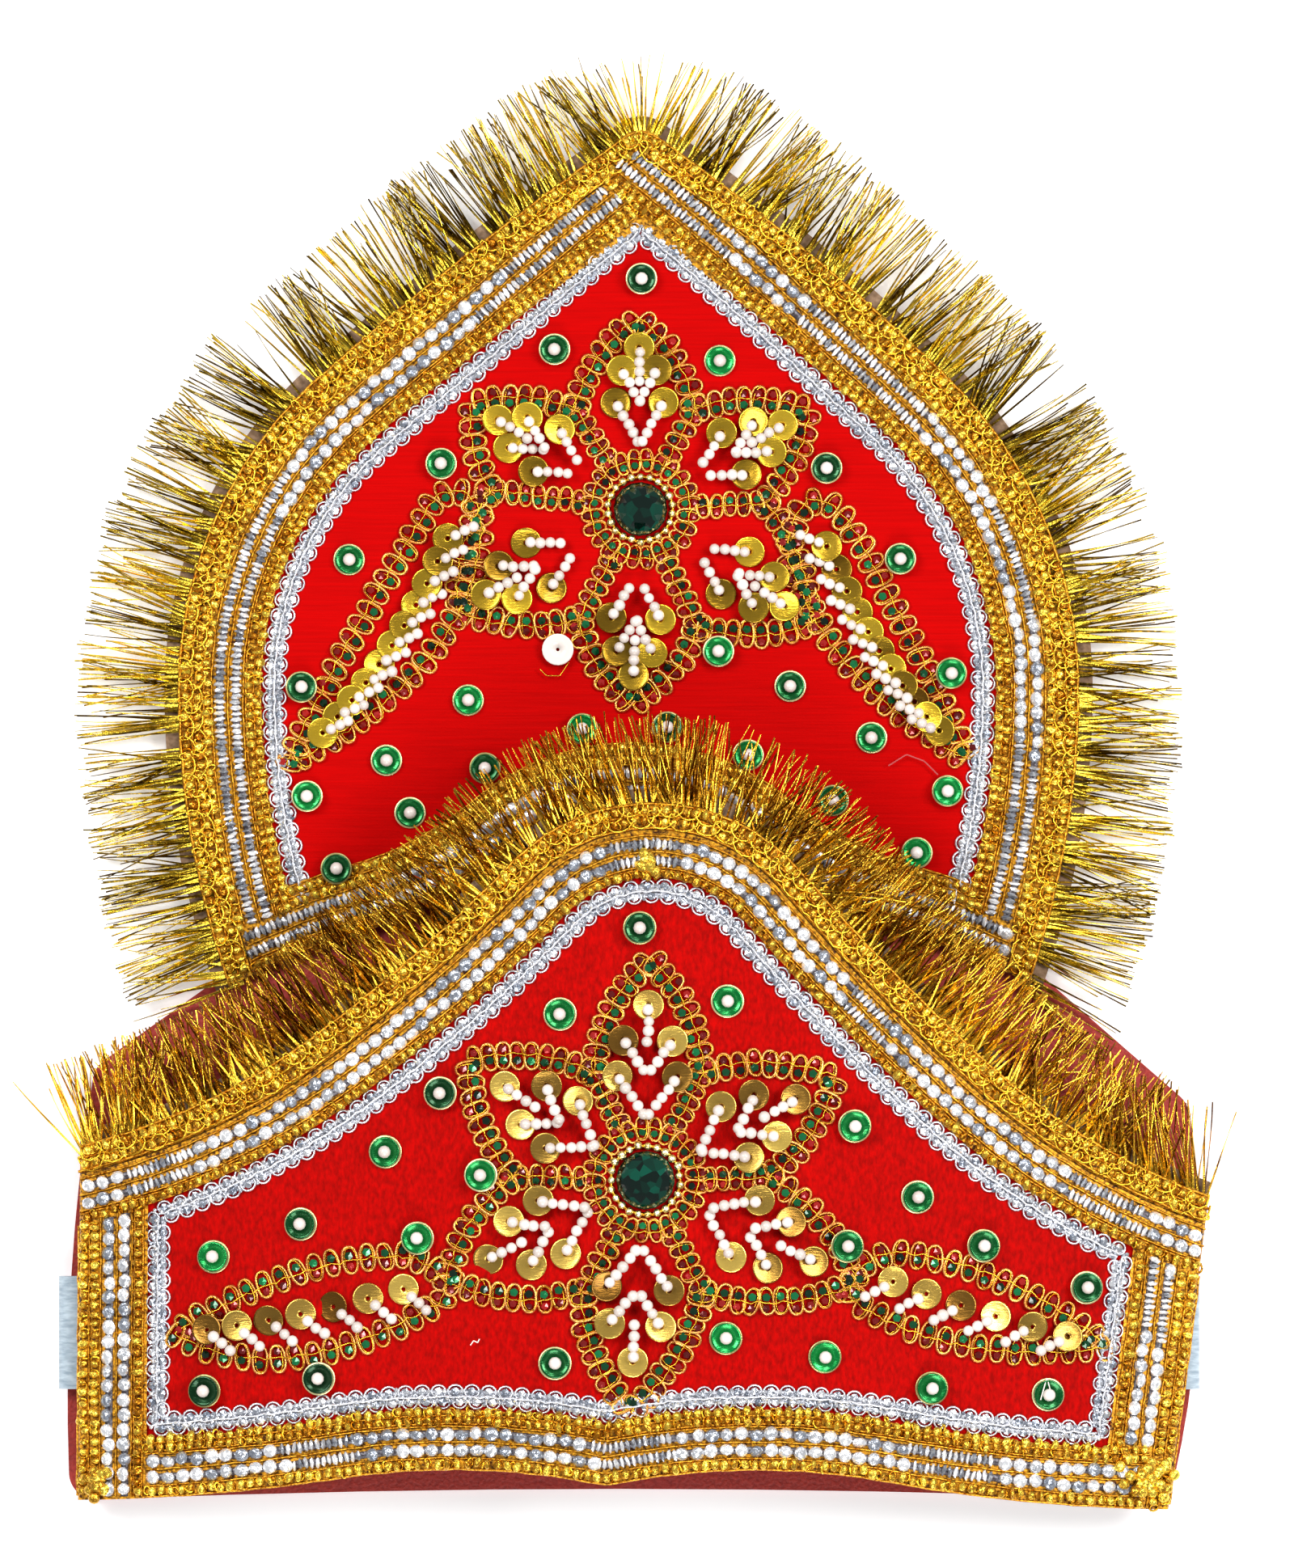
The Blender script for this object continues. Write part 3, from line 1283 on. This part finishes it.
def embroider(name, node, design, turned_leaf=None):
    """All gimp of a design; one leaf can have its braid the other way round."""
    tray = Tray()
    for line, side in design.petal_sides():
        gimp(tray, design.panel, line, -side)
    for line in design.spokes():
        gimp(tray, design.panel, line, 1, size=0.9)
    gimp(tray, design.panel, circle_round(design.centre, design.ring + 2.7 * MM, 5), 1, size=0.86)
    for index, (line, inside) in enumerate(design.leaf_loops()):
        gimp(tray, design.panel, line, -inside if index == turned_leaf else inside, 3.9 * MM)
    tray.join(name, "gimp_braid", node)


embroider("halo_embroidery", "halo_motif_braid", halo_design)
embroider("front_embroidery", "front_motif_braid", front_design, turned_leaf=0)

# %% [markdown]
# ## Stones and settings
#
# A stone is cut like a gem: a girdle, a tier of facets turned half a step against it, and a flat
# table. Its corners are placed and convex_hull closes the facets between them. It sits in a ring of
# pale gold beads.

# %% Stones in their settings
stone_height = 4.2 * MM

# Corners in a tier, share of the radius, share of the height, and turn in steps
stone_tiers = ((16, 1, 0.0, 0.0), (16, 1, 0.22, 0.0), (16, 0.84, 0.62, 0.5), (8, 0.56, 1.0, 0.0))


def cut_stone(radius):
    bm = bmesh.new()
    for sides, out, up, step in stone_tiers:
        for index in range(sides):
            angle = math.tau * (index + step) / sides
            reach = out * radius
            bm.verts.new((reach * math.cos(angle), reach * math.sin(angle), up * stone_height))
    made = bmesh.ops.convex_hull(bm, input=bm.verts)
    inner = [g for g in made["geom_interior"] if isinstance(g, bmesh.types.BMVert)]
    bmesh.ops.delete(bm, geom=inner, context="VERTS")
    return as_arrays(bm)


setting_bead = cut_bead(0.95 * MM, 0.9)
for name, design in (("halo", halo_design), ("front", front_design)):
    tray = Tray()
    frames = design.panel.frames(design.centre[None], [[0.94, 0.34]], trim_level)
    tray.lay(cut_stone(design.stone), frames, stone_glass, 0.35)
    tray.join(f"{name}_cut_stone", "green_stone", f"{name}_stone")
    tray = Tray()
    circle = circle_round(design.centre, design.stone + 1.15 * MM, 3)
    cord_row(tray, design.panel, circle, trim_level, gold_wire, 0.5 * MM, 0.3)
    places, ways = spaced(circle, 2.05 * MM)
    places = moved_aside(places, ways, 0.12)
    ways, sizes = any_way(ways), 1 + jitter(len(places), 0.06)
    frames = design.panel.frames(places, ways, trim_level, sizes)
    tray.lay(setting_bead, frames, pale_gold_bead, chance.uniform(0.3, 1, len(places)))
    tray.join(f"{name}_setting_beads", "gold_beads", f"{name}_stone_setting")

# %% [markdown]
# ## Sequins
#
# Sequins are turned shapes: a profile spun round its axis. The solid model holds one small solid
# for each, so their places are read from it. Hand sewing tips each one a little its own way.

# %% Turned sequins
def turned_disc(profile, steps):
    """A thin disc with a hole, from a profile of radius and height in millimetres."""
    bm = bmesh.new()
    row = [bm.verts.new((radius * MM, 0, height * MM)) for radius, height in profile]
    edges = [bm.edges.new(pair) for pair in zip(row, row[1:])]
    bmesh.ops.spin(
        bm, geom=row + edges, cent=(0, 0, 0), axis=(0, 0, 1), angle=math.tau, steps=steps,
        use_merge=True,
    )
    bmesh.ops.remove_doubles(bm, verts=bm.verts, dist=0.01 * MM)
    bmesh.ops.recalc_face_normals(bm, faces=bm.faces)
    bmesh.ops.solidify(bm, geom=bm.faces, thickness=0.12 * MM)
    return as_arrays(bm, True)


def scattered_places(node):
    """The middle of each small solid in a node, sorted, so that every run takes the same order."""
    bm = merged_copy(node)
    unseen = set(bm.verts)
    found = []
    while unseen:
        group = [unseen.pop()]
        for vert in group:
            for link in vert.link_edges:
                other = link.other_vert(vert)
                if other in unseen:
                    unseen.remove(other)
                    group.append(other)
        points = np.array([v.co[:] for v in group])
        found.append((points.min(axis=0) + points.max(axis=0)) / 2)
    bm.free()
    return np.array(sorted(found, key=tuple))


flat_disc = turned_disc([(0.45, 0.1), (0.9, 0.14), (2.0, 0.2), (3.1, 0.26), (3.45, 0.34)], 22)
rim_disc = turned_disc([(0.45, 0.1), (2.4, 0.16), (3.6, 0.24), (4.0, 0.32)], 24)
cup = turned_disc([(0.45, 0.1), (1.5, 0.12), (2.0, 0.3), (3.1, 0.82), (3.55, 0.97)], 26)
pearl_bm = bmesh.new()
bmesh.ops.create_icosphere(pearl_bm, subdivisions=2, radius=1.2 * MM)
pearl_bead = as_arrays(pearl_bm, True)


# %% Sewing on sequins and pearls
def sewn_frames(panel, centres, tip):
    """Frames at the middles of sequin solids, each tipped at random."""
    ways = any_way(np.tile([1.0, 0.0], (len(centres), 1)), 6.28)
    return laid_by_hand(panel, centres[:, :2], ways, panel.heights(centres), tip, tip)


def lifted(frames, height, size=1.0):
    """Frames moved along their own Z, by a height in millimetres at their scale, and resized."""
    made = frames.copy()
    made[:, :3, 3] += made[:, :3, 2] * height * MM
    made[:, :3, :3] *= size
    return made


def pearl_string(tray, panel, start, way, count, size, level):
    """Seed pearls threaded in a row, from a start along a direction."""
    steps = np.arange(count) * 2.2 * MM * size
    places = start + way * steps[:, None]
    places = places + jitter(2 * count, 0.1 * MM).reshape(-1, 2)
    frames = panel.frames(places, np.tile(way, (count, 1)), level, size + jitter(count, 0.03))
    tray.lay(pearl_bead, frames, pearl, chance.uniform(0.2, 1, count))


def string_on(design, centre, string, leaf_strings, draw_in):
    """Start, direction and count of the pearls on a flat sequin, in a petal or in a leaf.

    string is a petal string's count and size, leaf_strings the directions in the left and the right
    leaf and how far in they start, and draw_in how many degrees a petal's strings close in.
    """
    out = centre - design.centre
    far = np.linalg.norm(out)
    if far > 0.9 * design.reach:
        left_turn, right_turn, inset = leaf_strings
        way = unit(left_turn if out[0] < 0 else right_turn)
        return centre + way * inset * MM, way, 3
    tips = np.array([petal[2] for petal in design.petals])
    off = (math.degrees(math.atan2(out[1], out[0])) % 360 - tips + 180) % 360 - 180
    nearest = np.abs(off).argmin()
    aside = math.sin(math.radians(off[nearest])) * far
    way = unit(tips[nearest] + 180 + draw_in * np.clip(aside / (3 * MM), -1, 1))
    return centre + way * 1.0 * MM, way, string[0] + (far < 0.56 * design.reach)


def sew_sequins(name, design, film, cup_size, string, leaf_strings, draw_in, bare_spot=None):
    """All sequins of a panel and the pearls on them; the disc at the bare spot has lost its cup."""
    panel = design.panel
    centres = scattered_places(f"{name}_rim_sequins")
    frames = lifted(sewn_frames(panel, centres, 0.03), -0.2, cup_size)
    bare = np.zeros(len(frames), bool)
    if bare_spot is not None:
        gaps = np.linalg.norm(centres[:, :2] - design.place(bare_spot), axis=1)
        bare[gaps.argmin()] = True
    tray = Tray()
    tray.lay(rim_disc, frames[~bare], rim_foil, chance.uniform(0, 1, (~bare).sum()))
    tray.lay(rim_disc, frames[bare], pearl, 0.8)
    tray.join(f"{name}_rim_discs", "gold_foil", f"{name}_rim_sequins")

    cups = lifted(frames[~bare], 0.35)
    tray = Tray()
    tray.lay(cup, cups, green_foil, chance.uniform(0, 1, len(cups)))
    tray.join(f"{name}_cups", "green_foil", f"{name}_green_sequins")
    pearls = Tray()
    on_cups = lifted(cups, 1.3, 1.2 / cup_size)
    pearls.lay(pearl_bead, on_cups, pearl, chance.uniform(0.4, 1, len(on_cups)))

    centres = scattered_places(f"{name}_gold_sequins")
    frames = sewn_frames(panel, centres, 0.1)
    tray = Tray()
    tray.lay(flat_disc, frames, film, chance.uniform(0, 1, len(frames)))
    tray.join(f"{name}_flat_discs", "gold_foil", f"{name}_gold_sequins")
    levels = panel.heights(centres) + 1.35 * MM
    for centre, level in zip(centres[:, :2], levels):
        start, way, count = string_on(design, centre, string, leaf_strings, draw_in)
        pearl_string(pearls, panel, start, way, count, string[1], level)
    pearls.join(f"{name}_seed_pearls", "gold_beads")


sew_sequins("halo", halo_design, gold_foil, 0.88, (4, 1.02), (24, 156, 1.9), 29, (-0.157, 0.391))
sew_sequins("front", front_design, pale_gold_foil, 0.93, (4, 1.06), (-40, 207, 2.4), 36)

# %% [markdown]
# ## Loose threads
#
# Hand sewing leaves ends: a thread under the bare sequin, gold ends at the braid, a white end by a
# cup at the lower right, and a speck of lint. Each is a thin wire through a few points on its
# panel.

# %% Loose ends
loose = Tray()
for panel, finish, tone, points in (
    (halo, gold_wire, 0.8, ((-15, 149), (-17, 146), (-20, 146), (-21.5, 147.5))),
    (halo, thread, 0.05, ((56, 126), (60, 128.5), (64, 127), (67, 124))),
    (halo, gold_wire, 0.7, ((-99, 110), (-96, 112.5), (-93, 111.5), (-90, 114))),
    (front, thread, 1.0, ((89, -14.5), (90.4, -9.5), (91.6, -14))),
    (front, thread, 0.9, ((-36.5, -2.2), (-35.8, -1.2), (-34.9, -1.6), (-34.5, -0.8))),
):
    count = len(points)
    path = read_off(np.array(points) * MM, np.arange(count), np.linspace(0, count - 1, 6 * count))
    loose.run(panel.points(path, trim_level + 1.2 * MM), 0.14 * MM, finish, tone)
loose.join("loose_ends", "gold_braid")

# %% [markdown]
# ## Elastic straps
#
# Each strap is a strip of knitted elastic, folded round from the back board to the front board. It
# is the solid's own shape with fine ribs along it, from the finish's relief.

# %% Straps
for node in ("elastic_left", "elastic_right"):
    bm = merged_copy(node)
    for face in bm.faces:
        face.smooth = abs(face.normal.y) < 0.5
    mesh = bpy.data.meshes.new(f"{node}_knit")
    bm.to_mesh(mesh)
    bm.free()
    mesh.materials.append(elastic)
    finished(f"{node}_knit", mesh, "white_elastic", node)

# %% [markdown]
# ## Floor, light and camera
#
# The crown lies on a pale floor. Metal shows what it mirrors, so the light comes from a few
# separate soft boxes with darker room between them: facets that face a box flash, and the rest stay
# dark. The camera looks straight down from far off with a long lens.

# %% Floor
floor_mesh = bpy.data.meshes.new("floor")
bm = bmesh.new()
bmesh.ops.create_grid(bm, x_segments=1, y_segments=1, size=3.0)
bm.to_mesh(floor_mesh)
bm.free()
glow = {"Roughness": 0.9, "Emission Color": hex_colour("#FFFFFF"), "Emission Strength": 0.25}
paper = finish_of(
    "matt white paper", "#F6F6F6", "#FCFCFC", glow, (60.0, 60.0, 60.0), 3.0, by_tone=False
)
floor_mesh.materials.append(paper)
floor = bpy.data.objects.new("floor", floor_mesh)
bpy.context.scene.collection.objects.link(floor)

# %% Lights
crown_middle = Vector((0.0, 0.12, 0.0))


def soft_box(name, place, size, watts):
    """A square area light that faces the crown's middle."""
    light = bpy.data.lights.new(name, "AREA")
    light.size = size
    light.energy = watts
    lamp = bpy.data.objects.new(name, light)
    bpy.context.scene.collection.objects.link(lamp)
    lamp.location = place
    lamp.rotation_mode = "QUATERNION"
    lamp.rotation_quaternion = (crown_middle - Vector(place)).to_track_quat("-Z", "Y")


soft_box("box over the left", (-0.75, 0.55, 1.15), 0.55, 12.5)
soft_box("box over the right", (0.85, 0.35, 1.1), 0.5, 12.5)
soft_box("box at the foot", (0.1, -0.85, 1.0), 0.6, 9)
soft_box("box behind the head", (0.35, 0.95, 1.35), 0.45, 8)

world = bpy.data.worlds.new("pale room")
bpy.context.scene.world = world
world.use_nodes = True
tree = world.node_tree
tree.nodes.clear()
room = add(tree, "ShaderNodeBackground", {"Color": hex_colour("#F4F4F8"), "Strength": 0.3})
add(tree, "ShaderNodeOutputWorld", {"Surface": room.outputs[0]})

# %% Camera
camera = bpy.data.objects.new("camera", bpy.data.cameras.new("camera"))
bpy.context.scene.collection.objects.link(camera)
bpy.context.scene.camera = camera
view_height = 0.349         # metres seen from the picture's foot to its head
view_middle = (2.34 * MM, 121.95 * MM)
distance = 5.0
camera.data.sensor_fit = "VERTICAL"
camera.data.sensor_height = 24.0
camera.data.sensor_width = 36.0
camera.data.lens = camera.data.sensor_height * distance / view_height
camera.location = (*view_middle, distance)
camera.data.clip_end = 20.0
bpy.context.scene.view_settings.view_transform = "Standard"
